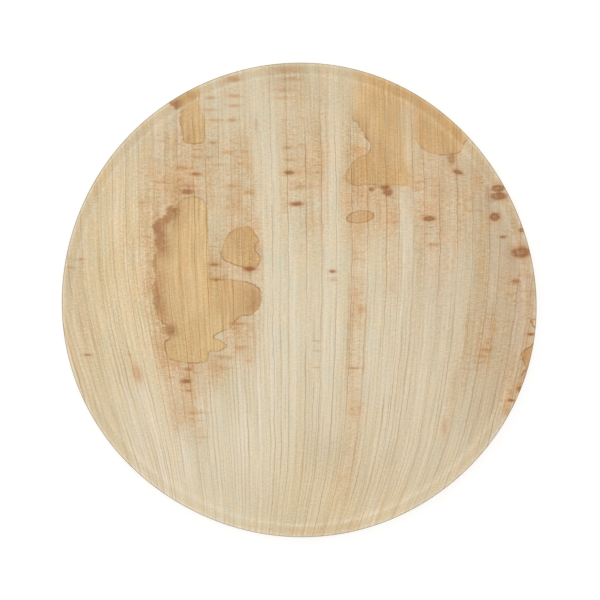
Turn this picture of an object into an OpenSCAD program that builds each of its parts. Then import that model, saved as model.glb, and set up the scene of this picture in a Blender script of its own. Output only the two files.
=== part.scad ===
// Round plate pressed from one dry palm leaf sheath, in millimetres.
// It stands on the XY plane with its rim up and its axis on Z.
// The leaf's fibres run along Y and draw together toward -Y.

/* [Plate] */
// Diameter over the trimmed rim
plate_d = 250; // [180:1:320]
// Height of the rim above the table
plate_h = 15; // [12:0.5:30]
// Thickness of the sheet in the floor
floor_t = 1.8; // [1:0.1:2.5]
// Thickness of the sheet at its trimmed edge, measured level
edge_t = 1.4; // [0.8:0.1:2]

/* [Wall] */
// Slope of the wall's inner face, in degrees from the floor
wall_slope = 74.3; // [60:0.1:80]
// Radius of the fold between floor and wall, on the inner face
fold_r = 4; // [2:0.5:8]

/* [Leaf veins] */
// Mean distance from one vein to the next across the middle
vein_pitch = 6.3; // [4:0.1:12]
// How far the veins stray from even spacing
vein_stray = 0.9; // [0:0.1:1.5]
// Width of one vein
vein_w = 1.1; // [0.6:0.1:2]
// Height of one vein over the leaf's face
vein_h = 0.25; // [0.1:0.05:0.5]
// Room left between the outermost veins and the side of the plate
vein_margin = 13; // [8:1:40]
// Distance of the place where the veins start to draw together, from the middle toward +Y
fan_y = 40; // [0:1:80]
// Length that sets how fast they draw together, where longer is straighter
fan_l = 296; // [200:1:600]
// Sideways bow of the veins between the middle and the rim
fan_bow = 2; // [0:0.1:6]

/* [Hidden] */
$fn = 128;

rim_r = plate_d / 2;
// Sharp corner of floor and wall, on the inner and on the outer face
foot_in = rim_r - edge_t - (plate_h - floor_t) / tan(wall_slope);
foot_out = foot_in + floor_t * tan(wall_slope / 2);
slope_out = atan2(plate_h, rim_r - foot_out);
// A vein's root goes this far into the sheet, so that the two fuse
vein_root = floor_t / 4;
// Overshoot of a cut past the face that it opens
clear = 2;
// Straight pieces of a vein in the stretch where it is curved
vein_bends = 4;
vein_n = floor((rim_r - vein_margin) / vein_pitch);
leaf_color = [0.87, 0.81, 0.70];

// Half section of a solid dish: a flat base at height z, a wall that leaves
// the sharp corner at radius foot, and a fillet of radius r in that corner
module dish_section(z, foot, slope, r, top) {
    reach = r * tan(slope / 2);
    centre = [foot - reach, z + r];
    on_wall = [foot + reach * cos(slope), z + reach * sin(slope)];
    polygon([
        [0, z],
        [centre.x, z],
        centre,
        on_wall,
        [foot + (top - z) / tan(slope), top],
        [0, top]
    ]);
    intersection() {
        translate(centre) circle(r);
        polygon([centre, [centre.x, z - r], centre + 2 * (on_wall - centre)]);
    }
}

// Half section of everything inside the underside
module outer_section() {
    dish_section(0, foot_out, slope_out, fold_r + floor_t, plate_h);
}

// Half section of the hollow
module hollow_section() {
    dish_section(floor_t, foot_in, wall_slope, fold_r, plate_h + clear);
}

// Half section of the hollow with a sharp fold, moved in from the leaf's face by raise
module sharp_hollow_section(raise) {
    z = floor_t + raise;
    foot = foot_in - raise * tan(wall_slope / 2);
    top = plate_h + clear;
    polygon([[0, z], [foot, z], [foot + (top - z) / tan(wall_slope), top], [0, top]]);
}

// The pressed sheet without its veins
module sheet() {
    rotate_extrude() difference() {
        outer_section();
        hollow_section();
    }
}

// Thin layer along floor and wall in which the veins stand. Its fold is
// sharp, so the veins sink into the sheet's round fold, as the press irons
// them flat there, and come out again on the wall.
module vein_layer() {
    rotate_extrude() difference() {
        intersection() {
            outer_section();
            sharp_hollow_section(-vein_root);
        }
        sharp_hollow_section(vein_h);
    }
}

// Place across the plate of the fibre that starts at u, where it passes y
function fibre_x(u, y) =
    u * exp(-pow(max(fan_y - y, 0) / fan_l, 2)) - fan_bow * pow(y / rim_r, 2);

// Plan of one vein, as a band of width vein_w that bends only where its fibre does
module vein_plan(u) {
    bend_y = (fan_y + rim_r) / vein_bends;
    ys = concat([for (i = [0 : vein_bends]) i * bend_y - rim_r], rim_r);
    left = [for (y = ys) [fibre_x(u, y) - vein_w / 2, y]];
    right = [for (i = [len(ys) - 1 : -1 : 0]) [fibre_x(u, ys[i]) + vein_w / 2, ys[i]]];
    polygon(concat(left, right));
}

// All veins, cut to the inner face
module veins() {
    intersection() {
        vein_layer();
        linear_extrude(plate_h)
            for (i = [-vein_n : vein_n])
                vein_plan(i * vein_pitch + vein_stray * sin(i * 137));
    }
}

module plate() {
    color(leaf_color) union() {
        sheet();
        veins();
    }
}

plate();
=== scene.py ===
"""Looks of a round plate pressed from one dry palm leaf sheath, in metres."""

import logging
import math
from dataclasses import dataclass
from enum import Enum
from typing import Any, Mapping, Sequence, Union

import bpy
import numpy as np
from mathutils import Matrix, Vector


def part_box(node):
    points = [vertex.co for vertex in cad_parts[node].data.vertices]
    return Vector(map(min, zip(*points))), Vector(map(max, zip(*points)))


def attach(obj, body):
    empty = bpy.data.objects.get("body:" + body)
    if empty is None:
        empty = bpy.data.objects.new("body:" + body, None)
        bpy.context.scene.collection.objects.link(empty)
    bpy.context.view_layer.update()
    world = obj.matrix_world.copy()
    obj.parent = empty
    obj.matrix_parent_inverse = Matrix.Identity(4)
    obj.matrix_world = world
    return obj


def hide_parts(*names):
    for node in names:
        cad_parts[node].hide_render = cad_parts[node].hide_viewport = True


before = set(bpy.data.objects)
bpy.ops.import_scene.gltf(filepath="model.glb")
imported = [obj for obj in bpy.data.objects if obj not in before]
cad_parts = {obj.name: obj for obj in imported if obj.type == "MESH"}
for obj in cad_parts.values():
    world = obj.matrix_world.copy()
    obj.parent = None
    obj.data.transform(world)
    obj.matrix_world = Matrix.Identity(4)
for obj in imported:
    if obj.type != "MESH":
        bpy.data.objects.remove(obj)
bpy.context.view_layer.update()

MM = 0.001
Array = np.ndarray
Colour = tuple[float, float, float]
log = logging.getLogger("leaf_plate")


def paint(red: int, green: int, blue: int) -> Colour:
    """Turn a screen colour of 0 to 255 into the linear one that shaders read.

    Args:
        red: Red part, 0 to 255.
        green: Green part, 0 to 255.
        blue: Blue part, 0 to 255.

    Returns:
        The three linear parts, by the usual screen curve.
    """

    def linear(part: int) -> float:
        """Undo the screen curve for one part."""
        share = part / 255
        return share / 12.92 if share <= 0.04045 else ((share + 0.055) / 1.055) ** 2.4

    return linear(red), linear(green), linear(blue)


def ease(value: Array, low: float, high: float) -> Array:
    """Rise smoothly from 0 at low to 1 at high, as 3t^2 - 2t^3."""
    t = np.clip((value - low) / (high - low), 0, 1)
    return t * t * (3 - 2 * t)


# Shader maths


class Value:
    """One number of a shader, on which Python's operators add Math nodes."""

    def __init__(self, board: "NodeBoard", socket: bpy.types.NodeSocket) -> None:
        """Wrap the socket that carries the number."""
        self.board = board
        self.socket = socket

    def math(self, operation: str, *others: Union["Value", float]) -> "Value":
        """Add a Math node on this number and the others.

        Args:
            operation: Blender's name of the operation.
            others: The further inputs.

        Returns:
            The node's result.
        """
        return self.board.math(operation, self, *others)

    def __add__(self, other: Union["Value", float]) -> "Value":
        """Add."""
        return self.math("ADD", other)

    __radd__ = __add__

    def __sub__(self, other: Union["Value", float]) -> "Value":
        """Subtract the other from this."""
        return self.math("SUBTRACT", other)

    def __rsub__(self, other: float) -> "Value":
        """Subtract this from a plain number."""
        return self.board.math("SUBTRACT", other, self)

    def __mul__(self, other: Union["Value", float]) -> "Value":
        """Multiply."""
        return self.math("MULTIPLY", other)

    __rmul__ = __mul__

    def __truediv__(self, other: Union["Value", float]) -> "Value":
        """Divide this by the other."""
        return self.math("DIVIDE", other)

    def __abs__(self) -> "Value":
        """Drop the sign."""
        return self.math("ABSOLUTE")

    def least(self, other: Union["Value", float]) -> "Value":
        """Take the smaller of the two."""
        return self.math("MINIMUM", other)

    def most(self, other: Union["Value", float]) -> "Value":
        """Take the larger of the two."""
        return self.math("MAXIMUM", other)

    def floor(self) -> "Value":
        """Round down."""
        return self.math("FLOOR")

    def fraction(self) -> "Value":
        """Keep what lies past the whole number below."""
        return self.math("FRACT")

    def ease(self, low: float, high: float) -> "Value":
        """Rise smoothly from 0 at low to 1 at high.

        Args:
            low: Where the rise starts. It may be the larger of the two.
            high: Where it ends.

        Returns:
            The eased value, between 0 and 1.
        """
        if low > high:
            return 1 - self.ease(high, low)
        node = self.board.add(
            "ShaderNodeMapRange",
            {"interpolation_type": "SMOOTHSTEP"},
            {"Value": self, "From Min": low, "From Max": high},
        )
        return Value(self.board, node.outputs["Result"])


Input = Union[Value, float, Sequence[float], bpy.types.NodeSocket]


class NodeBoard:
    """The node tree of one material or of the world, and the one way to add to it."""

    def __init__(self, tree: bpy.types.NodeTree) -> None:
        """Empty the tree and keep it."""
        self.tree = tree
        tree.nodes.clear()

    def add(
        self,
        kind: str,
        settings: Mapping[str, Any] | None = None,
        inputs: Mapping[str | int, Input] | None = None,
    ) -> bpy.types.Node:
        """Add a node, make its settings and then fill its sockets.

        Args:
            kind: Blender's name of the node type.
            settings: Properties of the node, such as a Math node's operation.
            inputs: A value or a link for each socket, by name, identifier or place.

        Returns:
            The new node.
        """
        node = self.tree.nodes.new(kind)
        for name, setting in (settings or {}).items():
            setattr(node, name, setting)
        for name, item in (inputs or {}).items():
            socket = self.socket(node, name)
            if isinstance(item, Value):
                self.tree.links.new(item.socket, socket)
            elif isinstance(item, bpy.types.NodeSocket):
                self.tree.links.new(item, socket)
            elif isinstance(socket.default_value, float):
                socket.default_value = item
            else:
                width = len(socket.default_value)
                socket.default_value = tuple(item) + (1.0,) * (width - len(item))
        return node

    @staticmethod
    def socket(node: bpy.types.Node, name: str | int) -> bpy.types.NodeSocket:
        """Find an input socket of a node.

        Args:
            node: The node.
            name: The socket's place, its identifier or its name.

        Returns:
            The socket.
        """
        if isinstance(name, int):
            return node.inputs[name]
        by_identifier = [s for s in node.inputs if s.identifier == name]
        return by_identifier[0] if by_identifier else node.inputs[name]

    def math(self, operation: str, *numbers: Union[Value, float]) -> Value:
        """Add a Math node.

        Args:
            operation: Blender's name of the operation.
            numbers: Its inputs, in order.

        Returns:
            The node's result.
        """
        node = self.add(
            "ShaderNodeMath", {"operation": operation}, dict(enumerate(numbers))
        )
        return Value(self, node.outputs[0])

    def mix(self, under: Input, over: Input, share: Input) -> bpy.types.NodeSocket:
        """Lay one colour over another.

        Args:
            under: The colour where share is 0.
            over: The colour where share is 1.
            share: How much of over shows.

        Returns:
            The mixed colour.
        """
        node = self.add(
            "ShaderNodeMix",
            {"data_type": "RGBA"},
            {"Factor_Float": share, "A_Color": under, "B_Color": over},
        )
        return [s for s in node.outputs if s.identifier == "Result_Color"][0]

    def vary(self, colour: Input, change: Value, hue: Value) -> bpy.types.NodeSocket:
        """Make a colour brighter or darker, as a dry leaf does, and where light is painted by the
        fold.

        Args:
            colour: The colour to vary.
            change: Gain around 0. Blue changes most, so dark places are browner.
            hue: Turn around 0, from yellowish below to pinkish above.

        Returns:
            The colour times 1 plus each channel's own share of both.
        """
        red = 1 + change * 0.74 + hue * 0.8
        green = 1 + change + hue * 0.15
        blue = 1 + change * 1.7 - hue * 0.5
        node = self.add(
            "ShaderNodeVectorMath",
            {"operation": "MULTIPLY"},
            {0: colour, 1: self.point(red, green, blue)},
        )
        return node.outputs["Vector"]

    def parts(self, attribute: str) -> tuple[Value, Value, Value]:
        """Read a vector attribute of the mesh.

        Args:
            attribute: The attribute's name.

        Returns:
            Its three numbers.
        """
        source = self.add("ShaderNodeAttribute", {"attribute_name": attribute})
        split = self.add("ShaderNodeSeparateXYZ", None, {"Vector": source.outputs["Vector"]})
        return tuple(Value(self, s) for s in split.outputs)

    def point(self, x: Input, y: Input, z: Input = 0.0) -> bpy.types.NodeSocket:
        """Join three numbers into a vector."""
        node = self.add("ShaderNodeCombineXYZ", None, {"X": x, "Y": y, "Z": z})
        return node.outputs["Vector"]

    def noise(
        self, across: Value, along: Value, detail: float = 2.0, layer: Input = 0.0
    ) -> Value:
        """Add soft noise over two stretched coordinates.

        Args:
            across: First coordinate, one blotch wide where it changes by 1.
            along: Second coordinate, in the same way.
            detail: Finer octaves on top of the first.
            layer: Third coordinate, which picks another pattern.

        Returns:
            The noise, between 0 and 1 around 0.5.
        """
        node = self.add(
            "ShaderNodeTexNoise",
            {"noise_dimensions": "3D"},
            {"Vector": self.point(across, along, layer), "Scale": 1.0, "Detail": detail},
        )
        return Value(self, node.outputs[0])

    def chance(self, number: Value, layer: float = 0.0) -> Value:
        """Give each whole number its own random value from 0 to 1."""
        node = self.add(
            "ShaderNodeTexWhiteNoise",
            {"noise_dimensions": "2D"},
            {"Vector": self.point(number, layer)},
        )
        return Value(self, node.outputs["Value"])


def start_material(name: str) -> tuple[bpy.types.Material, NodeBoard]:
    """Make an empty material and its node board.

    Args:
        name: The material's name.

    Returns:
        The material, and the board of its nodes.
    """
    made = bpy.data.materials.new(name)
    made.use_nodes = True
    return made, NodeBoard(made.node_tree)


def put(name: str, data: bpy.types.ID) -> bpy.types.Object:
    """Make an object at the origin and link it into the scene.

    Args:
        name: The object's name.
        data: Its mesh, lamp or camera.

    Returns:
        The new object.
    """
    made = bpy.data.objects.new(name, data)
    bpy.context.scene.collection.objects.link(made)
    return made


# The leaf


@dataclass(frozen=True)
class LeafGrain:
    """Where the fibres and veins of the leaf run over the plate.

    The fibres run along Y and draw together toward -Y. Lengths are in
    millimetres here and in every pattern of the leaf.
    """

    rim_r: float = 125.0
    fan_y: float = 40.0
    fan_l: float = 296.0
    fan_bow: float = 2.0
    low_y: float = -70.0
    low_l: float = 600.0
    left_y: float = 20.0
    left_lean: float = 0.1
    vein_h: float = 0.14
    vein_half_w: float = 0.5
    rib_h: float = 0.02
    rib_pitch: float = 2.3
    swell_h: float = 0.05
    vein_places: tuple[float, ...] = (
        -176, -168, -160, -152, -144, -137, -130, -122, -115, -106, -98, -91, -84, -76,
        -70, -63.5, -55, -48.7, -41.5, -35.3, -30, -25, -14, -5.7, 4.2, 12.3, 20, 28.2,
        36.5, 46.5, 53, 60.8, 66.5, 74.5, 84, 92, 101, 106, 117, 124, 131, 139, 147,
        155, 163, 171,
    )  # fmt: skip

    def across(self, x: Array, y: Array) -> Array:
        """Name the fibre through each point by its place at the +Y end.

        The fibre at place u passes x = u * exp(-(d / fan_l)^2) - fan_bow * (y / rim_r)^2,
        where d is how far the point lies past fan_y toward -Y. Two bends come on
        top: low on the plate the fibres lean more the further right they are, as
        w^2 / low_l with w the way past low_y, and at the far left they lean out
        by up to left_lean times the way past left_y.

        Args:
            x: Places across the plate.
            y: Places along it.

        Returns:
            u of every point.
        """
        past = np.maximum(self.fan_y - y, 0) / self.fan_l
        low = np.maximum(self.low_y - y, 0)
        bend = low**2 / self.low_l * np.maximum(1 + x / 50, 0)
        down = np.maximum(self.left_y - y, 0)
        bend -= self.left_lean * ease(-x, 45, 80) * down**2 / (down + 25)
        return (x + bend + self.fan_bow * (y / self.rim_r) ** 2) * np.exp(past**2)

    def vein_count(self, u: Array) -> Array:
        """Count veins from the left, whole on each vein and even in between."""
        return np.interp(u, self.vein_places, np.arange(len(self.vein_places)))

    def ridge(self, u: Array, y: Array) -> Array:
        """Height of the leaf's face over its mean, in millimetres.

        Each vein is a bell, as vein_h * exp(-(d / vein_half_w)^2) with d the way
        from its middle. Ribs lie between, lower toward +Y, on a slow swell.

        Args:
            u: The fibre of each point.
            y: Its place along the plate.

        Returns:
            The height of each point.
        """
        place = np.asarray(self.vein_places)
        near = place[np.argmin(np.abs(u[:, None] - place[None]), axis=1)]
        vein = self.vein_h * np.exp(-(((u - near) / self.vein_half_w) ** 2))
        ribs = self.rib_h * np.cos(2 * np.pi * u / self.rib_pitch) * ease(-y, -60, 60)
        swell = self.swell_h * np.sin(u / 5.1 + 0.7) * np.sin(u / 13.0 + y / 90)
        return vein + ribs + swell


class Tone(Enum):
    """Soft colours that the leaf takes in broad areas, and painted light and shade on the wall."""

    BLUSH = 0
    STRAW = 1
    SHADE = 2
    GOLD = 3
    BROWN = 4
    PALE = 5


@dataclass(frozen=True)
class Wash:
    """A soft area of one tone: its middle as fibre and y, its half sizes and its share.

    Every share is 1 or less.
    """

    tone: Tone
    u: float
    y: float
    half_w: float
    half_l: float
    share: float

    def weight(self, u: Array, y: Array) -> Array:
        """Fall off as exp(-a^4 - |b|^3), where a and b are 1 at the half sizes."""
        a, b = (u - self.u) / self.half_w, np.abs(y - self.y) / self.half_l
        return self.share * np.exp(-(a**4) - b**3)

    @classmethod
    def rows(cls, tone: Tone, *rows: tuple[float, ...]) -> tuple["Wash", ...]:
        """Make a wash of the tone from each row of numbers."""
        return tuple(cls(tone, *row) for row in rows)


@dataclass(frozen=True)
class Stain:
    """A sap stain, as corner points with the strength of its dark line at each."""

    corners: tuple[tuple[float, float, float], ...]

    def loop(self, steps: int = 5) -> Array:
        """Round the corners with a closed Catmull-Rom curve.

        Args:
            steps: Points from one corner to the next.

        Returns:
            Points of the curve, with the line's strength as third column.
        """
        p = np.asarray(self.corners, float)
        before, after, beyond = np.roll(p, 1, 0), np.roll(p, -1, 0), np.roll(p, -2, 0)
        t = np.linspace(0, 1, steps, endpoint=False)[None, :, None]
        a, b, c, d = (q[:, None] for q in (before, p, after, beyond))
        curve = 0.5 * (
            2 * b
            + (c - a) * t
            + (2 * a - 5 * b + 4 * c - d) * t**2
            + (3 * b - a - 3 * c + d) * t**3
        )
        return curve.reshape(-1, 3)

    def measure(self, x: Array, y: Array) -> tuple[Array, Array]:
        """Measure how far each point lies from the stain's edge.

        The distance is to the nearest of the loop's straight pieces. It is
        below 0 where a ray toward +X crosses the loop an odd number of times.

        Args:
            x: Places across the plate.
            y: Places along it.

        Returns:
            The distances, and the line's strength at the nearest place.
        """
        start = self.loop()
        end = np.roll(start, -1, 0)
        best = np.full(x.shape, np.inf)
        line = np.zeros(x.shape)
        inside = np.zeros(x.shape, bool)
        for (ax, ay, aw), (bx, by, bw) in zip(start, end):
            dx, dy = bx - ax, by - ay
            t = np.clip(((x - ax) * dx + (y - ay) * dy) / (dx * dx + dy * dy), 0, 1)
            gap = np.hypot(x - ax - t * dx, y - ay - t * dy)
            nearer = gap < best
            line = np.where(nearer, np.clip(aw + t * (bw - aw), 0, 2), line)
            best = np.where(nearer, gap, best)
            crosses = (ay > y) != (by > y)
            if dy:
                inside ^= crosses & (x < ax + (y - ay) * dx / dy)
        return np.where(inside, -best, best), line


@dataclass(frozen=True)
class Spot:
    """A small dark mark, as an oval with its strength and its turn in degrees.

    Above strength 1 it has a core, and below 0 it is only outlined and filled.
    """

    x: float
    y: float
    half_w: float
    half_l: float
    strength: float
    turn: float = 0.0

    @classmethod
    def rows(cls, *rows: tuple[float, ...]) -> tuple["Spot", ...]:
        """Make a spot from each row of numbers."""
        return tuple(cls(*row) for row in rows)


@dataclass(frozen=True)
class LeafMarks:
    """All that the sap and the drying left on the inner face of the leaf, with painted light on it:
    a pale line along the fold, partly the press's burnish and partly painted highlight, and painted
    light and shade on the wall.
    """

    stains: tuple[Stain, ...] = (
        # Long stain and its lobe
        Stain((
            (-64.1, 51, 0.9), (-62, 53.1, 0.9), (-57.3, 54.7, 0.8), (-52, 53.7, 0.7),
            (-49.4, 51, 0.7), (-48.4, 46.3, 0.7), (-48.2, 39.5, 0.5), (-47.6, 26.5, 0.5),
            (-47.2, 14, 0.5), (-46.5, 11, 0.8), (-38.5, 11, 0.9), (-29.5, 10, 0.9),
            (-22.5, 7.5, 1), (-20, 4, 1), (-20, -1, 1), (-22, -5, 1), (-25.5, -8, 1),
            (-30.5, -8.5, 0.7), (-34, -11.5, 0.9), (-36.5, -15, 0.9), (-40.5, -16.5, 1),
            (-43.5, -18, 0.9), (-45, -20.3, 1), (-41, -21.3, 1), (-38.2, -24, 1.1),
            (-39.5, -25.8, 1.2), (-43, -27, 1.1), (-47.2, -27.3, 0.8), (-47.6, -29.8, 0.6),
            (-49.2, -32.4, 0.7), (-54, -33.4, 1), (-62, -33, 1), (-67.5, -31.4, 1),
            (-69.9, -28.9, 0.9), (-71.2, -23.6, 0.9), (-70.4, -21.5, 1), (-68.3, -20.2, 1),
            (-69.4, -18.6, 0.9), (-72.5, -17.3, 0.7), (-73.1, -15.2, 0.7), (-70.4, -13.6, 1),
            (-72.5, -11.5, 0.9), (-74.6, -9.4, 0.7), (-76.2, -4.2, 0.5), (-77, 1.6, 0.4),
            (-77.3, 7.9, 0.4), (-75.7, 11.6, 0.3), (-76.7, 15.8, 0.3), (-77.8, 20, 0.2),
            (-75.7, 23.7, 0.5), (-74.9, 26.3, 0.6), (-76.2, 29, 0.5), (-75.7, 33.7, 0.5),
            (-77.3, 37.9, 0.5), (-77, 40, 0.6), (-74.1, 43.1, 0.7), (-70.4, 45.2, 0.4),
            (-69.9, 48.9, 0.2), (-67.8, 50.3, 0.2), (-65.2, 49.5, 0.4),
        )),
        # Blot at the right of the rim
        Stain((
            (124.6, -21.5, 1.8), (122, -24.2, 1.8), (119.4, -25.7, 1.6), (117.8, -27.8, 1.6),
            (117.8, -31, 1.6), (119.1, -33.6, 1.6), (118.8, -36.8, 1.6), (117, -39.4, 1.2),
            (116.7, -42.6, 1), (116, -46, 1.4), (118, -49.4, 1), (124, -49, 0), (127, -37, 0),
            (128, -26, 0),
        )),
        # Loop above the blot
        Stain((
            (122, -10.6, 2), (124.6, -10, 2), (127, -13, 0), (124.5, -14.6, 2), (122.6, -12.6, 2),
        )),
        # Round stain beside the long one
        Stain((
            (-39, 31.5, 0.7), (-36, 36, 0.8), (-30.5, 38.5, 0.9), (-25.5, 38.3, 0.9),
            (-22.5, 34, 0.9), (-21, 31.5, 1), (-23, 28.5, 0.9), (-22.5, 25.5, 0.9),
            (-20, 22.5, 1), (-21.5, 18.5, 0.9), (-24.5, 16, 1), (-29, 17, 1), (-33.5, 18.5, 1),
            (-38.5, 20.5, 1), (-41.3, 23.5, 0.8), (-40.5, 27.5, 0.5),
        )),
        # Tongue from the rim
        Stain((
            (-62, 101, 0.3), (-63, 94.5, 0.7), (-61.5, 88, 1), (-60.5, 83.5, 1), (-57, 82.3, 1),
            (-53, 82.7, 0.9), (-50, 84.5, 0.6), (-49.5, 94, 0.2), (-51, 99, 0.2), (-53, 104, 0.2),
            (-52, 113, 0.2), (-60, 113, 0.2), (-70, 107, 0.4), (-68, 102.5, 0.6),
            (-64.5, 101, 0.6),
        )),
        # Broad stain at the top
        Stain((
            (33, 126, 0), (31, 108, 0), (28.6, 98, 0), (27.9, 94.8, 0.8), (31.4, 93.6, 0.9),
            (31.6, 91.6, 0.9), (33.9, 89.4, 1), (35, 85.8, 1), (37, 83.6, 1), (38, 81, 1),
            (36.4, 77.4, 1), (32, 75.4, 0.9), (28.2, 72.6, 0.8), (25, 67, 0.9), (24.6, 64.6, 0.9),
            (26.4, 61.9, 0.9), (30.5, 60.3, 0.8), (35, 60.9, 0.9), (39.4, 60.9, 0.9),
            (44.4, 60.1, 0.7), (50, 60.7, 0.4), (55.5, 60.6, 0.3), (57.5, 64.5, 0), (56.5, 71, 0),
            (54.5, 79, 0), (54, 89.5, 0), (54, 100, 0), (56, 106, 0), (60.5, 105, 0), (62, 98, 0),
            (62, 88, 0), (63, 82.6, 0.2), (65.6, 80, 0.8), (69, 77.8, 0.9), (74, 76.6, 0.9),
            (79.5, 76.7, 0.9), (83.5, 77.5, 0.9), (86, 79.5, 0.8), (88, 84, 0.8), (95, 90, 0.6),
            (80, 108, 0), (60, 120, 0), (45, 128, 0),
        )),
    )  # fmt: skip
    washes: tuple[Wash, ...] = (
        *Wash.rows(
            Tone.STRAW,
            (-95, 12, 20, 62, 0.95), (-120, -22, 14, 26, 0.45), (-86, -64, 8, 34, 0.4),
            (-104, -60, 28, 36, 0.2), (8, -98, 32, 18, 0.5), (48, -100, 26, 22, 0.3),
            (57, 90, 5, 26, 0.6),
        ),
        *Wash.rows(
            Tone.BLUSH,
            (-59, 67, 14, 29, 0.74), (-78, 12, 6.5, 66, 0.8), (-41, 66, 7, 38, 0.3),
            (-30, 48, 7, 42, 0.75), (-34, 110, 8, 10, 0.15), (-22.5, 30, 4, 38, 0.75),
            (-43, 15, 7, 16, 0.85), (-68, 60, 12, 9, 0.35), (-87, 15, 8, 24, 0.25),
            (-69, -44, 14, 34, 0.85), (-46.5, -37, 7, 11, 0.65), (-37, -16, 5, 8, 0.75),
            (58, 61, 6, 11, 0.35), (-31, -20, 9, 14, 0.5), (-4, 66, 6, 34, 0.6),
            (-4, 113, 7, 9, 0.15), (9, 86, 10, 28, 0.45), (25, 76, 3, 20, 0.35),
            (6, 52, 9, 26, 0.6), (29, 53, 8, 20, 0.85), (31, 55, 5.5, 9, 0.5),
            (32, 84, 3.5, 8, 0.9), (31, 80, 7, 16, 1.0), (43, 55, 11, 20, 0.9),
            (49, 20, 5, 26, 0.45), (31, 8, 4.5, 34, 0.45), (31, -28, 4.5, 34, 0.45),
            (34, -70, 4.5, 38, 0.5), (75, 54, 14, 34, 0.68), (98, 40, 5, 22, 0.2),
            (97.5, 14, 3, 22, 0.4), (93, -22, 3.5, 22, 0.35), (88.5, -54, 3, 20, 0.3),
            (103, -20, 5, 16, 0.6), (118, 14, 12, 50, 0.2), (128, -44, 12, 18, 0.45),
            (95, 63, 5, 12, 0.5), (36, -123, 30, 7, 0.2), (-118, 4, 6, 36, 0.3),
        ),
        *Wash.rows(
            Tone.SHADE,
            # The rows at (130, 6), (110, -78) and (28, -121) lie on the wall: painted shade that
            # darkens the right and lower wall, where the lamp lights it more
            (73, 42, 17, 56, 0.4), (114, 2, 22, 72, 0.8), (130, 6, 9, 44, 0.5),
            (92, 4, 20, 54, 0.3), (84, 52, 16, 24, 0.2), (110, -78, 9, 26, 0.2),
            (28, -121, 36, 5, 0.2), (18, -84, 16, 12, 0.35), (50, -92, 20, 14, 0.15),
            (55, -50, 20, 60, 0.1), (69, 14, 8, 22, 0.4), (-6, 120, 10, 8, 0.6),
        ),
        *Wash.rows(
            Tone.GOLD,
            (41, 75, 16, 20, 0.95), (47, 106, 10, 16, 0.35), (74, 88, 14, 12, 0.5),
            (70, 104, 20, 8, 0.7), (-32, 0, 14, 11, 1.0), (-31, 28, 11, 12, 1.0),
            (-62, 113, 8, 5, 0.4), (-57, -15, 8, 9, 0.2),
        ),
        *Wash.rows(
            Tone.BROWN,
            (-62.5, 95, 2, 8, 0.55), (-58, 108, 6, 3, 0.45), (-72, 34, 12, 12, 1.0),
            (-69, 47, 6, 6, 1.0), (-77, 18, 6, 6, 0.35), (-75, 3, 10, 12, 0.75),
            (-69, 0, 5, 7, 0.4), (-71, -16, 4, 3.4, 1.0), (128, -35, 9, 15, 0.45),
            (-65.5, 102.5, 5, 4, 1.0), (-25.5, 0, 6, 6, 0.5), (-30, -12.6, 8, 1.6, 0.5),
            (-57, 85, 1.5, 8, 0.4),
        ),
        *Wash.rows(
            Tone.PALE,
            # The rows at (-120, -2) and (-118, -88) lie on the wall: painted light that lifts the
            # left and lower left wall, where the lamp lights it less
            (-8, -4, 14, 84, 0.75), (-15, 85, 6, 36, 0.35), (-38, 104, 18, 16, 0.62),
            (19.3, 70, 2.8, 56, 0.6), (57.5, 40, 4, 22, 0.4), (0, -122, 90, 9, 0.15),
            (-100, -64, 21, 36, 1.0), (106, -86, 20, 24, 0.75), (-121, 62, 10, 44, 0.7),
            (-120, -2, 13, 40, 0.3), (-72, 90, 8, 14, 0.3), (-118, -88, 16, 22, 0.8),
            (16, -28, 8, 60, 0.6), (46, -24, 11, 44, 0.35), (-36, -78, 26, 34, 0.85),
            (-84, -86, 24, 22, 1.0), (-60, -110, 36, 12, 0.6), (83, 5, 4, 30, 0.4),
        ),
    )  # fmt: skip
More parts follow.
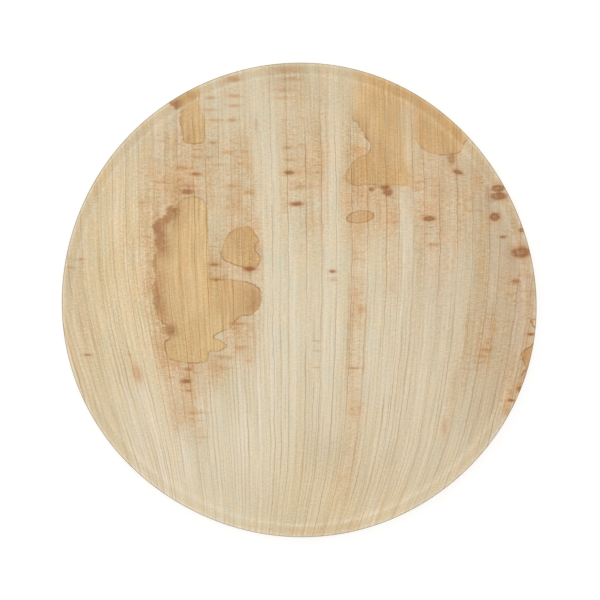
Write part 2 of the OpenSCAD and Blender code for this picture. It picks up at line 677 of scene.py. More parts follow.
    spots: tuple[Spot, ...] = Spot.rows(
        (-46.8, 106.8, 2.6, 0.7, 0.45), (-34.2, 102.6, 2.8, 0.7, 0.45),
        (-47, 100.5, 3.6, 0.6, 0.35), (-43.6, 95, 3.6, 0.6, 0.4), (-36.8, 77.9, 2.6, 0.8, 0.4),
        (-28.9, 78.4, 1.8, 0.8, 0.4), (-42, 71.5, 3.4, 0.6, 0.35), (-34.7, 60.2, 3, 0.9, 0.45),
        (-26.8, 56.8, 2.4, 1.2, 0.5), (-46.8, 75.6, 2.6, 0.6, 0.4), (-22.6, 92.6, 1, 3.2, 0.3),
        (-6.5, 121, 5, 1.4, 0.3), (-5.2, 116.8, 4, 0.9, 0.3), (-7.6, 111, 5, 1.1, 0.35),
        (-8, 106.8, 4.4, 0.7, 0.3), (0.4, 59.8, 3.4, 1.1, 0.5), (-31.3, -25, 3, 0.8, 0.5),
        (-26.6, -32.2, 1.6, 0.7, 0.4), (-39.4, -36, 3, 0.8, 0.35), (-36.6, -30.4, 1.8, 0.9, 0.45),
        (32.3, 43.9, 7.5, 3.3, -1.0, 8), (38.2, 58.4, 1.8, 1.2, 0.9), (45.8, 59.3, 2.6, 1.4, 1.0),
        (46.9, 57.0, 2.6, 2.1, 1.15), (83.9, 67.6, 2.4, 1.1, 1.3, -20),
        (80.6, 74.8, 1.9, 3.2, 0.75), (68.8, 43.0, 3.0, 1.4, 1.3), (103.4, 44.0, 2.5, 2.1, 1.45),
        (105.0, 58.9, 3.6, 1.7, 1.6), (105.2, 54.8, 4.0, 2.0, 1.3), (117.3, 36.7, 1.6, 1.2, 1.3),
        (107.8, 33.4, 1.8, 0.7, 0.9), (117.3, 25.2, 4.6, 2.7, 1.5), (114.5, 9.9, 2.1, 1.2, 0.8),
        (118.6, 13.3, 2.6, 0.8, 0.35), (17.7, 15.1, 1.6, 0.9, 0.9), (18.2, 10.8, 1.6, 1.2, 0.4),
        (70.9, 29.4, 3.0, 0.9, 0.6), (62.2, 57.9, 1.6, 0.5, 0.4), (95.3, 62.8, 2.2, 2.4, 0.2),
        (-35.3, 95.0, 2.4, 0.8, 0.6), (-45.6, 83.2, 2, 0.9, 0.6), (-54.2, 79.5, 2.1, 0.5, 0.45),
        (-53.8, 75.7, 2.4, 0.6, 0.5), (-61.8, 69.7, 3.2, 1.0, 0.6), (-54.5, 66.5, 2.4, 0.8, 0.85),
        (-73.9, 62.5, 2.4, 0.5, 0.45), (-58.8, 60.2, 3.4, 1.2, 0.65),
        (-59.0, 57.1, 3.7, 1.5, 0.9), (-115.8, 21.5, 1.8, 0.6, 0.6),
        (-120.0, 17.1, 1.6, 0.6, 0.4), (-5.1, 67.3, 2.9, 1.1, 0.95), (-6.0, 80.5, 2.4, 0.7, 0.6),
        (-5.1, 74.1, 2.4, 0.6, 0.5), (-1.1, 50.8, 3.6, 1.2, 1.0), (-34.5, 116.4, 3.4, 1.3, 0.6),
        (-34, 107.8, 3, 0.8, 0.5), (-26.1, 16.4, 3.2, 1.4, 1.1), (-44.6, 18.7, 2.8, 0.8, 0.8),
        (-44.1, 10.9, 2.6, 0.8, 0.75), (-111.6, -29.0, 2.1, 0.6, 0.7),
        (-85.6, -38.5, 2.1, 5.0, 0.5, 18), (-89.4, -28.9, 1.1, 0.8, 0.35),
        (-58.4, -36.5, 2.6, 0.8, 0.75), (-59.7, -42.9, 2.6, 1.2, 0.95),
        (-58.1, -48.0, 2.1, 0.6, 0.65), (-67.2, -41.0, 2.1, 0.5, 0.4),
        (-41.2, -30.0, 2.4, 0.8, 0.55), (-31.6, -12.5, 4.7, 0.6, 0.6),
        (-54.1, -59.4, 4.7, 0.6, 0.4), (-51.2, -72.5, 3.2, 0.4, 0.35),
        (29.0, -36.0, 3.2, 0.5, 0.7), (33.5, 56.5, 6.0, 3.0, 0.35), (32.8, -5.0, 1.6, 1.8, 0.5),
        (9.3, -21.6, 2.1, 0.3, 0.45), (9.3, -26.8, 2.1, 0.3, 0.35), (9.3, -35.6, 2.1, 0.3, 0.45),
        (98.6, -26.4, 3.2, 0.7, 0.6), (97.0, -29.7, 3.2, 0.6, 0.5), (122.1, -18.0, 1.9, 0.7, 1.1),
        (116.4, -46.9, 1.3, 1.6, 1.3), (111.6, -52.8, 1.8, 0.7, 1.0),
        (109.1, -58.6, 1.6, 2.1, 0.4), (76.8, -67.1, 1.3, 3.7, 0.35),
    )  # fmt: skip
    # Stretches of the pale line along the fold, partly the press's burnish and partly painted
    # highlight: direction, half widths full and gone, strength at rest, and more
    fold_burnish_and_highlights: tuple[tuple[float, float, float, float, float], ...] = (
        (140, 35, 75, 0.18, 0.62), (277, 22, 40, 0.0, 0.9),
    )  # fmt: skip
    no_stain: float = 30.0

    def stain_field(self, x: Array, y: Array) -> tuple[Array, Array]:
        """Measure how far each point lies from the edge of the nearest stain.

        Args:
            x: Places across the plate.
            y: Places along it.

        Returns:
            The distances, below 0 inside a stain, and the line's strength there.
        """
        best, line = self.stains[0].measure(x, y)
        for stain in self.stains[1:]:
            gap, strength = stain.measure(x, y)
            line = np.where(gap < best, strength, line)
            best = np.minimum(gap, best)
        return best, line

    def tone_field(self, tone: Tone, u: Array, y: Array) -> Array:
        """Add up the washes of one tone, as 1 minus the product of what each leaves.

        Args:
            tone: The tone.
            u: The fibre of each point.
            y: Its place along the plate.

        Returns:
            The tone's weight at each point, from 0 to 1.
        """
        left = np.ones(u.shape)
        for wash in self.washes:
            if wash.tone is tone:
                left *= 1 - wash.weight(u, y)
        return 1 - left

    def fold_burnish_and_highlight(self, angle: Array) -> Array:
        """Work out how pale the line along the fold is, which is partly the press's burnish and
        partly painted highlight.

        Args:
            angle: Direction of each point, from 0 to 360 degrees.

        Returns:
            The strength of the strongest stretch.
        """
        stretches = [
            rest + more * (1 - ease(np.abs(angle - toward), full, gone))
            for toward, full, gone, rest, more in self.fold_burnish_and_highlights
        ]
        return np.maximum.reduce(stretches)

    def spot_field(self, point: Array, middle: Array) -> Array:
        """Give every corner of a face its place in the oval of the face's spot.

        The spot is the one nearest to the middle of the face, so the place is
        a straight function over each face and stays true inside it.

        Args:
            point: Place of each corner.
            middle: Middle of the face that the corner belongs to.

        Returns:
            For each corner the two coordinates, which reach length 1 on the
            oval's edge, and the spot's strength.
        """
        best = np.full(len(point), np.inf)
        found = np.zeros((len(point), 3))
        for spot in self.spots:
            c, s = math.cos(math.radians(spot.turn)), math.sin(math.radians(spot.turn))
            turn = np.array([[c, -s], [s, c]]) / [spot.half_w, spot.half_l]
            place = (point[:, :2] - [spot.x, spot.y]) @ turn
            reach = np.hypot(*((middle[:, :2] - [spot.x, spot.y]) @ turn).T)
            nearer = reach < best
            best[nearer] = reach[nearer]
            strength = np.full(len(point), spot.strength)
            found = np.where(nearer[:, None], np.column_stack([place, strength]), found)
        return found


# The finish


class LeafPattern:
    """The patterns of the leaf on one node board, worked out from the plate's marks.

    u counts millimetres across the fibres and v along them. The numbers that
    multiply them set how fine a pattern is, and the last number of a noise
    picks its layer.
    """

    rib_pitch: float = 2.3
    vein_pitch: float = 7.5

    def __init__(self, board: NodeBoard) -> None:
        """Read the marks and work out what all the layers share.

        Args:
            board: The node board of the leaf's material.
        """
        self.board = board
        u, v, count = board.parts("leaf")
        self.fold, self.rim, self.outside = board.parts("place")
        self.edge_gap, self.line, self.fold_burnish_and_highlight = board.parts("stain")
        self.spot_x, self.spot_y, self.spot_strength = board.parts("spot")
        self.blush, self.straw, self.shade = board.parts("tone")
        self.gold, self.brown, self.pale = board.parts("wash")

        drift = board.noise(u * 0.02, v * 0.03, 1.0) - 0.5
        waver = board.noise(u * 0.06, v * 0.1, 2.0, 14.0) - 0.5
        self.u, self.v = u + drift * 1.2 + waver * 1.2, v
        self.count = count + drift * 0.12 + waver * 0.18
        self.strip = self.count.floor()
        self.strip_chance = board.chance(self.strip)
        self.low_end = v.ease(60, -50) * v.ease(-122, -95)
        self.patches = board.noise(self.u * 0.07, v * 0.1, 2.0, 50.0).ease(0.38, 0.62)
        self.feather = board.noise(self.u * 0.28, v * 0.75, 3.0, 80.0)
        self.run = board.noise(self.strip * 6.1, v * 0.045, 2.0, 82.0).ease(0.35, 0.62)

    def fibres(self) -> tuple[Value, Value, Value]:
        """Make the streaks along the leaf.

        Returns:
            Fine fibres, finger wide streaks and broad bands, each around 0.
        """
        u, v = self.u, self.v
        fine = self.board.noise(u * 1.0, v * 0.03, 2.0) - 0.5
        streak = self.board.noise(u * 0.55, v * 0.012, 2.0, 4.0) - 0.5
        band = self.board.noise(u * 0.12, v * 0.008, 2.0, 8.0) - 0.5
        return fine, streak, band

    def veins(self) -> Value:
        """Make the dark line along each vein.

        Returns:
            The line, which comes and goes and is fainter toward the rim at +Y.
        """
        index = (self.count + 0.5).floor()
        gap = abs((self.count + 0.5).fraction() - 0.5) * self.vein_pitch
        fade = self.board.noise(index * 3.7, self.v * 0.035, 2.0, 20.0).ease(0.3, 0.55)
        chance = self.board.chance(index, 3.0)
        top = self.v.ease(108.0, 78.0) * 0.55 + 0.45
        return gap.ease(0.3, 0.05) * (chance * 0.5 + 0.5) * (fade * 0.85 + 0.15) * top

    def ribs(self) -> tuple[Value, Value]:
        """Make the close ribs between the veins, clearest low on the plate.

        Returns:
            A thin dark line between each two ribs, and each rib's own tone
            around 0.
        """
        turn = self.board.noise(self.u * 0.25, self.v * 0.01, 1.0, 12.0)
        count = self.u / self.rib_pitch + turn * 0.7
        index = (count + 0.5).floor()
        gap = abs((count + 0.5).fraction() - 0.5) * self.rib_pitch
        fade = self.board.noise(index * 5.3, self.v * 0.03, 2.0, 31.0).ease(0.38, 0.66)
        strength = (self.board.chance(index, 9.0) + self.low_end * 0.3) * (
            fade + self.low_end * 0.4
        )
        line = gap.ease(0.38, 0.06) * strength * (self.low_end * 0.5 + 0.4)
        return line, self.board.chance(count.floor(), 5.0) - 0.5

    def cells(self) -> tuple[Value, Value]:
        """Make what crosses the fibres and breaks at each vein.

        Returns:
            Fine cell lines around 0, and broader dashes from 0 to 1.
        """
        noise = self.board.noise
        u, v, strip = self.u, self.v, self.strip
        fine = noise(u * 0.4 + strip * 2.3, v * 1.5 + strip * 7.7, 2.0, 40.0) - 0.5
        dash = noise(u * 0.18 + strip * 7.3, v * 0.55 + strip * 11.1, 3.0, 44.0).ease(0.47, 0.7)
        short = noise(u * 0.4 + strip * 3.3, v * 1.1 + strip * 5.1, 2.0, 46.0).ease(0.5, 0.74)
        column = noise(strip * 4.1, v * 0.03, 1.0, 47.0).ease(0.3, 0.62)
        return fine, (dash + short * 0.5) * (column * 0.8 + 0.2)

    def blocks(self) -> tuple[Value, Value]:
        """Make the short pieces into which each strip between veins divides.

        Returns:
            The tan of each piece from 0 to 1, and its turn of hue around 0.
        """
        noise = self.board.noise
        tan = noise(self.strip * 5.7, self.v * 0.22, 2.0, 52.0).ease(0.5, 0.66)
        hue = noise(self.u * 0.1 + self.strip * 9.1, self.v * 0.07, 3.0, 54.0) - 0.5
        return tan, hue

    def stains(self) -> tuple[Value, Value, Value]:
        """Make the sap stains.

        Returns:
            How far a place is inside one, which is sharp where the stain has
            a line and soft where it has none, the line itself, and the brown
            wash that gathers along the edge.
        """
        wobble = self.board.noise(self.u * 0.4, self.v * 0.4, 3.0, 60.0) - 0.5
        ragged = (self.feather - 0.5) * (self.brown * 3.0 + 1.2)
        gap = self.edge_gap + wobble * 1.0 + ragged
        sharp = gap.ease(0.3, -0.3)
        soft = gap.ease(7.0, -4.0)
        inside = sharp * self.line.ease(0.0, 0.3) + soft * self.line.ease(0.3, 0.0)
        vary = self.board.noise(self.u * 0.15, self.v * 0.25, 2.0, 63.0).ease(0.35, 0.65)
        line = abs(gap + 0.15).ease(0.62, 0.08) * self.line * (vary * 0.6 + 0.4)
        brush = self.board.noise(self.u * 0.5, self.v * 0.07, 2.0, 66.0)
        depth = gap.ease(0.5, -1.2) * (gap.ease(-7.5, -2.0) * 0.6 + gap.ease(-16.0, -3.0) * 0.4)
        wash = self.brown * depth * (self.feather * 0.8 + brush * 1.2 + 0.05)
        return inside, line, wash

    def spots(self) -> tuple[Value, Value, Value, Value]:
        """Make the small dark marks.

        Returns:
            The dark body, crisp where the strength is above 1, the rusty
            halo, and for an oval that is only outlined, which has a strength
            below 0, its fill and its line.
        """
        reach = self.board.math("SQRT", self.spot_x * self.spot_x + self.spot_y * self.spot_y)
        ragged = reach + (self.feather - 0.5) * 0.8
        full, hollow = self.spot_strength.most(0.0), (self.spot_strength * -1.0).most(0.0)
        core = ragged.ease(0.75, 0.2) * (full - 1.0).most(0.0)
        body = (ragged.ease(1.4, 0.4) * full * 0.8).least(0.8) - core * 0.5
        halo = ragged.ease(2.6, 0.7) * full.least(1.0)
        round_reach = reach + (self.feather - 0.5) * 0.12
        fill = round_reach.ease(1.05, 0.9) * hollow
        ring = abs(round_reach - 0.95).ease(0.11, 0.03) * hollow
        return body, halo, fill, ring


@dataclass(frozen=True)
class LeafFinish:
    """The dry leaf: its colours as seen on screen, and how rough it is."""

    cream: Colour = paint(222, 206, 174)
    pale: Colour = paint(229, 218, 192)
    straw: Colour = paint(230, 209, 170)
    blush: Colour = paint(213, 176, 131)
    rust: Colour = paint(196, 136, 76)
    shade: Colour = paint(203, 182, 152)
    gold: Colour = paint(223, 189, 134)
    deep_gold: Colour = paint(206, 165, 111)
    brown: Colour = paint(168, 118, 78)
    dark: Colour = paint(150, 92, 48)
    vein: Colour = paint(150, 92, 40)
    edge: Colour = paint(150, 128, 98)
    back: Colour = paint(206, 186, 153)
    roughness: float = 0.62
    relief: float = 0.06 * MM

    def tones(
        self, leaf: LeafPattern, dash: Value, streak: Value, block: Value
    ) -> bpy.types.NodeSocket:
        """Lay the broad tones: cream, pale, straw, shade, and blush with rusty dashes.

        Args:
            leaf: The leaf's patterns.
            dash: Dashes across the fibres.
            streak: Streaks along them.
            block: Tan of each short piece of a strip.

        Returns:
            The colour so far.
        """
        mix = leaf.board.mix
        colour = mix(self.cream, self.pale, (leaf.pale * (streak * 1.5 + 0.8)).most(0.0))
        colour = mix(colour, self.straw, leaf.straw)
        colour = mix(colour, self.shade, leaf.shade * (0.75 + streak))
        blush = leaf.blush * (1 - leaf.pale * 0.8)
        own = leaf.run * 0.45 + streak * 1.5 + leaf.patches * 0.3 + block * 0.25 + 0.35
        colour = mix(colour, self.blush, (blush * own).least(1.0).most(0.0))
        rusty = dash * (blush + leaf.shade * 0.4 + 0.05)
        return mix(colour, self.rust, rusty * (leaf.patches * 0.45 + 0.28))

    def sap(self, leaf: LeafPattern, colour: Input) -> tuple[bpy.types.NodeSocket, Value]:
        """Lay the sap stains and spots over the colour.

        Args:
            leaf: The leaf's patterns.
            colour: The colour so far.

        Returns:
            The new colour, and how far each place is inside a stain.
        """
        mix = leaf.board.mix
        inside, line, wash = leaf.stains()
        mottle = leaf.board.noise(leaf.u * 0.12, leaf.v * 0.07, 3.0, 70.0).ease(0.38, 0.68)
        depth = leaf.gold * 0.7 + leaf.blush * 0.3 + mottle * 0.4 + (leaf.strip_chance - 0.5) * 0.4
        gold = mix(self.gold, self.deep_gold, depth.least(1.0).most(0.0))
        colour = mix(colour, gold, inside * 0.85)
        colour = mix(colour, self.brown, (line * 0.75).least(1.0))
        colour = mix(colour, self.brown, wash.least(1.0) * 0.86)
        body, halo, fill, ring = leaf.spots()
        colour = mix(colour, self.rust, halo * 0.35)
        colour = mix(colour, self.deep_gold, fill * 0.75)
        mark = mix(self.rust, self.dark, leaf.spot_strength.ease(0.45, 1.0))
        colour = mix(colour, mark, body)
        return mix(colour, self.brown, ring * 0.6), inside

    def material(self) -> bpy.types.Material:
        """Build the leaf's material from the marks that the plate carries.

        Each pattern's weight in a colour or in the change of tone stands beside it.

        Returns:
            The new material.
        """
        made, board = start_material("dry_palm_leaf")
        leaf = LeafPattern(board)
        fine, streak, band = leaf.fibres()
        vein = leaf.veins()
        rib_line, rib_tone = leaf.ribs()
        cell, dash = leaf.cells()
        block, hue = leaf.blocks()
        grit = board.noise(leaf.u * 1.2, leaf.v * 0.9, 1.0, 90.0) - 0.5
        speck = board.noise(leaf.u * 0.7, leaf.v * 0.4, 2.0, 95.0) - 0.5

        colour = self.tones(leaf, dash, streak, block)
        colour = board.mix(colour, self.back, leaf.outside * 0.8)
        colour, inside = self.sap(leaf, colour)
        # The pale line along the fold: partly the press's burnish, partly painted highlight
        burnish_and_highlight_line = abs(leaf.fold + streak * 1.5).ease(1.5, 0.2) * leaf.fold_burnish_and_highlight
        broken = (leaf.patches * 0.5 + fine * 1.5 + 0.25).least(1.0).most(0.0)
        colour = board.mix(colour, self.pale, burnish_and_highlight_line * broken)
        colour = board.mix(colour, self.vein, vein * (leaf.blush * 0.34 + inside * 0.14 + 0.46))
        colour = board.mix(colour, self.vein, rib_line * (inside * 0.1 + leaf.low_end * 0.1 + 0.22))
        colour = board.mix(colour, self.edge, abs(leaf.rim).ease(0.5, 0.15) * 0.7)
        change = (
            fine * (leaf.blush * 0.3 + leaf.straw * 0.24 - leaf.pale * 0.26 + inside * 0.26 + 0.4)
            + streak * 0.22
            + band * 0.14
            + grit * (leaf.straw * 0.16 + leaf.blush * 0.2 - leaf.pale * 0.12 + 0.3)
            + rib_tone * 0.05
            + (leaf.pale - 0.75).most(0.0) * 0.22
            + (leaf.strip_chance - 0.5) * (leaf.shade * 0.08 + 0.05)
            + cell * (leaf.blush * 0.42 + leaf.shade * 0.2 - leaf.low_end * 0.05 + 0.34)
            # Painted light: the inner wall and the floor just inside the fold are made lighter, to
            # lift the shade that falls by the fold
            + leaf.fold.ease(0.3, 2.0) * (1 - leaf.outside) * 0.03
            + leaf.fold.ease(-14.0, -2.0) * leaf.fold.ease(2.0, 0.0) * 0.032
        )
        turn = hue * (0.3 - leaf.low_end * 0.1) + speck * 0.14 - streak * 0.06
        colour = board.vary(colour, change, turn)

        height = fine * 0.6 + cell * 0.5 - vein * 0.8 - rib_line * 0.6
        bump = board.add(
            "ShaderNodeBump",
            None,
            {"Strength": 1.0, "Distance": self.relief, "Height": height},
        )
        rough = (self.roughness - inside * 0.08 + fine * 0.15).least(1.0)
        shader = board.add(
            "ShaderNodeBsdfPrincipled",
            None,
            {
                "Base Color": colour,
                "Roughness": rough,
                "IOR": 1.45,
                "Specular IOR Level": 0.28,
                "Normal": bump.outputs["Normal"],
            },
        )
        board.add("ShaderNodeOutputMaterial", None, {"Surface": shader.outputs["BSDF"]})
        return made


# The plate


@dataclass
class Section:
    """Points down one side of the plate's section, each a row of numbers.

    The columns are radius, height, the outward direction as radius and
    height, the way past the middle of the fold, the way past the outer
    corner of the rim, how much of the leaf's relief a row takes, and a mark
    that is 1 on the outer face and the underside.
    """

    rows: Array
    columns: tuple[str, ...] = (
        "radius", "height", "out_r", "out_z", "fold", "rim", "relief", "outside",
    )  # fmt: skip

    def column(self, name: str) -> Array:
        """Give one column by its name."""
        return self.rows[:, self.columns.index(name)]


@dataclass
class PressedPlate:
    """The one piece: a sheet of leaf pressed into a dish, sizes in millimetres."""

    rim_r: float
    height: float
    grain: LeafGrain
    marks: LeafMarks
    finish: LeafFinish
    floor_t: float = 1.8
    edge_t: float = 1.4
    edge_round: float = 0.3
    wall_slope: float = math.radians(74.3)
    fold_r: float = 4.0
    floor_patch_r: float = 112.0
    floor_rings: tuple[float, ...] = (114.0, 115.6)
    around: int = 900
    fold_steps: int = 8
    back_fold_steps: int = 7
    wall_steps: int = 5
    floor_rows: int = 140
    under_rows: int = 10
    # Waves of the uneven outline: size and direction of the high side in degrees
    outline_waves: tuple[tuple[float, float], ...] = (
        (0.28, -67), (0.44, -85), (0.50, -107), (0.17, -33), (0.20, -51),
    )  # fmt: skip
    outline_mean: float = -0.31
    floor_lift: float = 0.15
    rim_dip: float = 0.25

    def section(self) -> Section:
        """Lay out the section from the floor over the rim to the underside.

        The inner face is a level floor, an arc of fold_r through the wall's
        slope and a straight wall; the outer face is the same with its own
        slope and an arc of fold_r + floor_t. The cut edge is level, with two
        small rounds.

        Returns:
            The section's rows.
        """
        slope, top, e = self.wall_slope, self.height, self.edge_round
        foot_in = self.rim_r - self.edge_t - (top - self.floor_t) / math.tan(slope)
        foot_out = foot_in + self.floor_t * math.tan(slope / 2)
        slope_out = math.atan2(top, self.rim_r - foot_out)

        def arc(foot: float, base: float, r: float, lean: float, steps: int) -> Array:
            """Make one fold, from the floor to the wall.

            Args:
                foot: Radius of the sharp corner.
                base: Height of the floor.
                r: Radius of the fold.
                lean: Slope of the wall.
                steps: Points along it.

            Returns:
                Points and outward directions.
            """
            a = np.linspace(0, lean, steps)
            c = foot - r * math.tan(lean / 2)
            side, up = np.sin(a), np.cos(a)
            return np.stack([c + r * side, base + r - r * up, -side, up], 1)

        def line(start: Array, end: Sequence[float], steps: int) -> Array:
            """Go on from start to end in even steps.

            Args:
                start: The point before, with its direction.
                end: The last point.
                steps: Points to make.

            Returns:
                Points, all with the direction of start.
            """
            t = np.linspace(0, 1, steps + 1)[1:, None]
            points = start[:2] * (1 - t) + np.asarray(end) * t
            return np.hstack([points, np.tile(start[2:], (steps, 1))])

        fold_in = arc(foot_in, self.floor_t, self.fold_r, slope, self.fold_steps)
        back_r = self.fold_r + self.floor_t
        fold_out = arc(foot_out, 0.0, back_r, slope_out, self.back_fold_steps)
        fold_out[:, 2:] *= -1
        edge_in, edge_out = self.rim_r - self.edge_t, self.rim_r
        levels = np.array([self.floor_patch_r, *self.floor_rings])
        floor = np.array([[r, self.floor_t, 0, 1] for r in levels])
        wall_top = [edge_in - e / math.tan(slope), top - e]
        wall_in = line(fold_in[-1], wall_top, self.wall_steps)
        edge = np.array(
            [
                [edge_in + 0.3 * e, top - 0.2 * e, -1, 0],
                [edge_in + e, top, -1, 0],
                [edge_out - e, top, 1, 0],
                [edge_out - 0.3 * e, top - 0.2 * e, 1, 0],
                [edge_out - 0.05 * e, top - e, 1, 0],
            ]
        )
        under = np.array([[r, 0, 0, -1] for r in levels[1::-1]])
        wall_out = line(fold_out[-1], edge[-1, :2], self.wall_steps)[-2::-1]
        parts = [floor, fold_in, wall_in, edge, wall_out, fold_out[::-1], under]
        inner, outer = (1, 0), (0.3, 1)
        marks = [inner] * 4 + [outer] * 3
        rows = np.vstack(parts)
        flags = np.vstack([np.tile(m, (len(p), 1)) for m, p in zip(marks, parts)])
        # The rows round the outer corner take no relief, and past it the outer face starts
        rim = len(floor) + len(fold_in) + len(wall_in) + 3
        flags[rim - 1 : rim + 2, 0] = 0
        flags[rim + 1, 1] = 1

        steps = np.hypot(*np.diff(rows[:, :2], axis=0).T)
        way = np.concatenate([[0], np.cumsum(steps)])
        middle = way[len(floor)] + self.fold_r * slope / 2
        return Section(np.column_stack([rows, way - middle, way - way[rim], flags]))

    def disc(self, rows: int) -> tuple[Array, Array]:
        """Fill the circle of floor_patch_r with columns along Y.

        Column t and row s stand at (R cos t, s R sin t), with t from 0 to pi
        and s from -1 to 1, so the first and last rows lie on the circle at
        even angles. Only the points inside the circle are made.

        Args:
            rows: Steps from one side of the circle to the other.

        Returns:
            The places of the points, as x and y, and the numbers of all the
            grid's points as columns by rows, where a number below 0 stands
            for point -1 - number of the circle.
        """
        half = self.around // 2
        t = np.pi * np.arange(half + 1) / half
        s = np.linspace(-1, 1, rows + 1)
        x = self.floor_patch_r * np.cos(t)[:, None] * np.ones(rows + 1)
        y = self.floor_patch_r * np.sin(t)[:, None] * s
        number = np.zeros((half + 1, rows + 1), int)
        number[1:-1, 1:-1] = np.arange((half - 1) * (rows - 1)).reshape(half - 1, -1)
        number[:, -1] = -1 - np.arange(half + 1)
        number[:, 0] = -1 - (-np.arange(half + 1)) % self.around
        number[0, :], number[-1, :] = -1, -1 - half
        return np.stack([x, y], -1)[1:-1, 1:-1].reshape(-1, 2), number

    @staticmethod
    def grid_faces(number: Array) -> tuple[Array, Array]:
        """Join the grid of disc() into faces.

        Args:
            number: The point numbers, as columns by rows.

        Returns:
            The four-sided faces, and the three-sided ones of the end columns.
        """
        a, b = number[:-1, :-1], number[:-1, 1:]
        c, d = number[1:, 1:], number[1:, :-1]
        four = np.stack([a, b, c, d], -1)
        threes = np.vstack([four[0][:, [0, 2, 3]], four[-1][:, [0, 1, 2]]])
        return four[1:-1].reshape(-1, 4), threes

    def surface(self) -> tuple[Array, list[Array], dict[str, Array]]:
        """Work out the plate's surface.

        The ring carries the section around the axis at even angles, and two
        discs close it. Then the outline is made uneven, the face takes the
        leaf's relief and the sheet a slight warp.

        Returns:
            The vertices in millimetres, the faces in groups of equal size,
            and three marks for each vertex under each name.
        """
        section = self.section()
        angle = 2 * np.pi * np.arange(self.around) / self.around
        top, top_number = self.disc(self.floor_rows)
        low, low_number = self.disc(self.under_rows)

        def spread(name: str) -> Array:
            """Spread one column of the section over the vertices.

            Args:
                name: The column.

            Returns:
                Every vertex's value, which in each disc is the nearest row's.
            """
            c = section.column(name)
            ends = [np.full(len(top), c[0]), np.full(len(low), c[-1])]
            return np.concatenate([np.repeat(c, self.around), *ends])

        radius = section.column("radius")[:, None]
        x = np.concatenate([(radius * np.cos(angle)).ravel(), top[:, 0], low[:, 0]])
        y = np.concatenate([(radius * np.sin(angle)).ravel(), top[:, 1], low[:, 1]])
        z, fold, outside = spread("height"), spread("fold"), spread("outside")
        fold -= np.maximum(self.floor_patch_r - np.hypot(x, y), 0) * (1 - outside)

        x, y = self.uneven(x, y)
        u = self.grain.across(x, y)
        ridge = self.grain.ridge(u, y)
        push = (ridge - outside * ridge.max()) * spread("relief")
        r = np.hypot(x, y) + 1e-9
        out_r = push * spread("out_r")
        x, y = x * (1 + out_r / r), y * (1 + out_r / r)
        z = self.warp(x, y, z + push * spread("out_z"))

        marks = self.vertex_marks(x, y, u, outside)
        marks["place"] = np.stack([fold, spread("rim"), outside], -1)
        faces = self.faces(len(section.rows), top_number, low_number, len(top))
        return np.stack([x, y, z], -1), faces, marks

    def uneven(self, x: Array, y: Array) -> tuple[Array, Array]:
        """Move the outer part of the plate in or out, by a few waves around it.

        Args:
            x: Places across the plate.
            y: Places along it.

        Returns:
            The moved places. The move grows from 0 at half the radius to its
            full size at the fold.
        """
        angle, r = np.arctan2(y, x), np.hypot(x, y)
        move = np.full(x.shape, self.outline_mean)
        for order, (size, toward) in enumerate(self.outline_waves, 1):
            move += size * np.cos(order * angle - math.radians(toward))
        gain = 1 + move * ease(r, 0.5 * self.rim_r, 0.94 * self.rim_r) / np.maximum(r, 1)
        return x * gain, y * gain

    def warp(self, x: Array, y: Array, z: Array) -> Array:
        """Lift the sheet a little where it dried uneven, never out of its box.

        Args:
            x: Places across the plate.
            y: Places along it.
            z: Heights.

        Returns:
            The new heights: up to 0.3 mm of slow waves in the floor, and a
            rim that dips by up to 0.5 mm.
        """
        r = np.hypot(x, y) / self.rim_r
        wave = np.sin(x / 47 + 0.6) * np.cos(y / 58 - 0.4)
        lift = self.floor_lift * (1 + wave) * (1 - ease(r, 0.55, 0.95))
        angle = np.arctan2(y, x)
        dip = self.rim_dip * (1 + np.cos(2 * angle - 0.9)) * z / self.height
        dip = dip * ease(r, 0.9, 1.0)
        return np.clip(z + lift - dip, 0, self.height)

    def faces(
        self, row_count: int, top_number: Array, low_number: Array, top_count: int
    ) -> list[Array]:
        """List the faces of the ring and of both discs, outward side first.

        Args:
            row_count: Rows of the ring.
            top_number: Point numbers of the floor's disc.
            low_number: Point numbers of the underside's disc.
            top_count: Points inside the floor's disc.

        Returns:
            The vertex numbers of the faces, in groups of equal size.
        """
        n = self.around
        k = np.arange(n)
        row = np.arange(row_count - 1)[:, None] * n
        here, beside = row + k, row + (k + 1) % n
        ring = np.stack([here, here + n, beside + n, beside], -1).reshape(-1, 4)
        ring_size = n * row_count
        top = np.where(top_number < 0, -1 - top_number, ring_size + top_number)
        low_first = ring_size + top_count
        low = np.where(low_number < 0, ring_size - n - 1 - low_number, low_first + low_number)
        top_four, top_three = self.grid_faces(top)
        low_four, low_three = self.grid_faces(low)
        return [ring, top_four, low_four[:, ::-1], top_three, low_three[:, ::-1]]

    def vertex_marks(self, x: Array, y: Array, u: Array, outside: Array) -> dict[str, Array]:
        """Work out what the leaf's material reads at each vertex.

        Args:
            x: Places across the plate.
            y: Places along it.
            u: The fibre of each vertex.
            outside: 1 on the outer face.

        Returns:
            Three numbers per vertex, under each attribute's name.
        """
        inner = 1 - outside
        gap, line = self.marks.stain_field(x, y)
        gap = gap * inner + self.marks.no_stain * outside
        tone = {t: self.marks.tone_field(t, u, y) * inner for t in Tone}
        angle = np.degrees(np.arctan2(y, x)) % 360
        columns = {
            "leaf": (u, y, self.grain.vein_count(u)),
            # The third number of stain is the pale line along the fold: partly burnish, partly
            # painted highlight
            "stain": (gap, line, self.marks.fold_burnish_and_highlight(angle) * inner),
            "tone": (tone[Tone.BLUSH], tone[Tone.STRAW], tone[Tone.SHADE]),
            "wash": (tone[Tone.GOLD], tone[Tone.BROWN], tone[Tone.PALE]),
        }
        return {name: np.stack(parts, -1) for name, parts in columns.items()}

